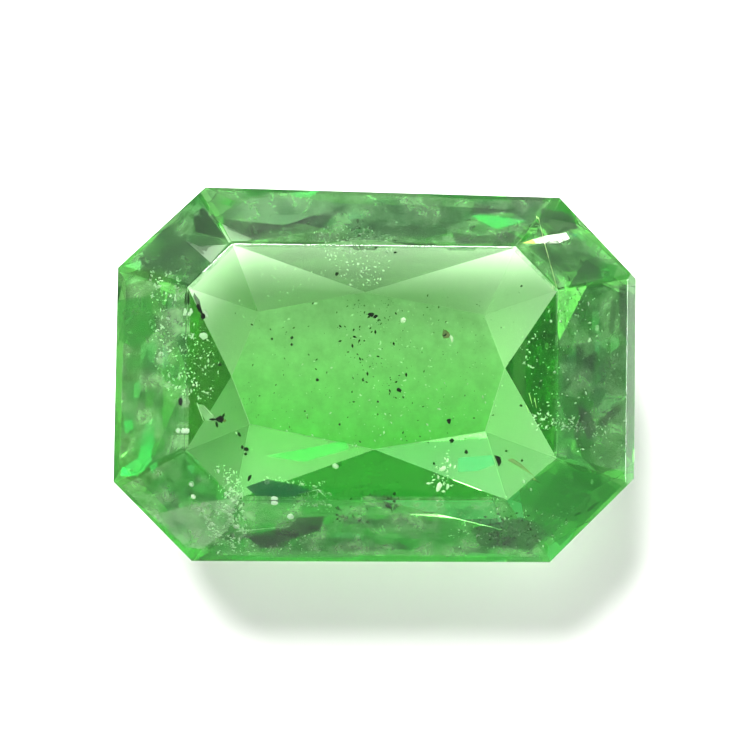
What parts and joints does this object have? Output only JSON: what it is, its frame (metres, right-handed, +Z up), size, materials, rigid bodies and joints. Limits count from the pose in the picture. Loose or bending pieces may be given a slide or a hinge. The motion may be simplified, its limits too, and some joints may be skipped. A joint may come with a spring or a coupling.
{
  "type": "tsavorite garnet",
  "caption": "Loose faceted tsavorite garnet, a rectangle with cut corners, table up on a flat base facet, with a star of pavilion facets under the table.",
  "frame": {"origin": "middle of the stone's outline, on the plane of the base facet that it rests on", "axes": "+X along the stone's length, +Y across its width, +Z up out of the table"},
  "size_m": [0.008, 0.0058, 0.0027],
  "materials": {
    "green_garnet": "transparent green garnet, polished flat facets"
  },
  "bodies": {
    "root": {"stone": "green_garnet"}
  },
  "joints": []
}
